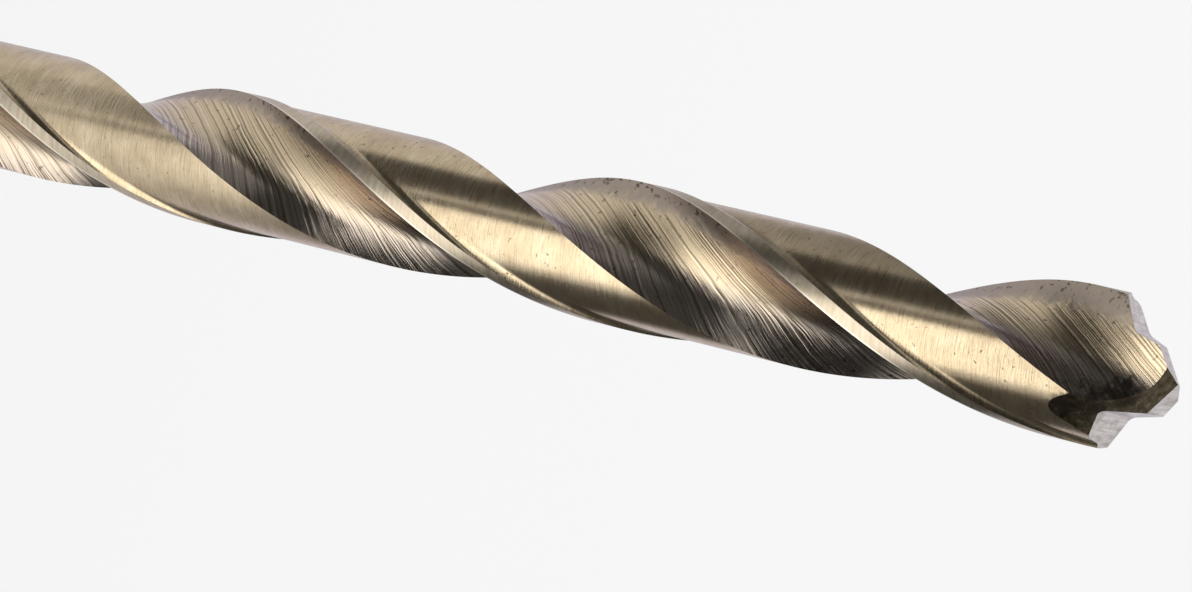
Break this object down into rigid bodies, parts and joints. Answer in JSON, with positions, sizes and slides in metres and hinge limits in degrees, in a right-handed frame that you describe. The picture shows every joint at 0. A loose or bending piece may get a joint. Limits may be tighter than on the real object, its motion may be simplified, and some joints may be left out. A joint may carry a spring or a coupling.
{
  "type": "twist drill bit",
  "caption": "Straight-shank twist drill bit with two right-hand helical flutes, relieved lands with narrow margins, and a stepped, split pilot point.",
  "frame": {"origin": "centre of the flat end of the shank", "axes": "+Z along the drill's axis, from the shank to the point; the outer corners of the two lips lie towards +X and -X"},
  "size_m": [0.005, 0.005, 0.086],
  "materials": {
    "tool_steel": "ground high-speed steel with a thin gold-brown oxide"
  },
  "bodies": {
    "root": {"twist_drill": "tool_steel"}
  },
  "joints": []
}
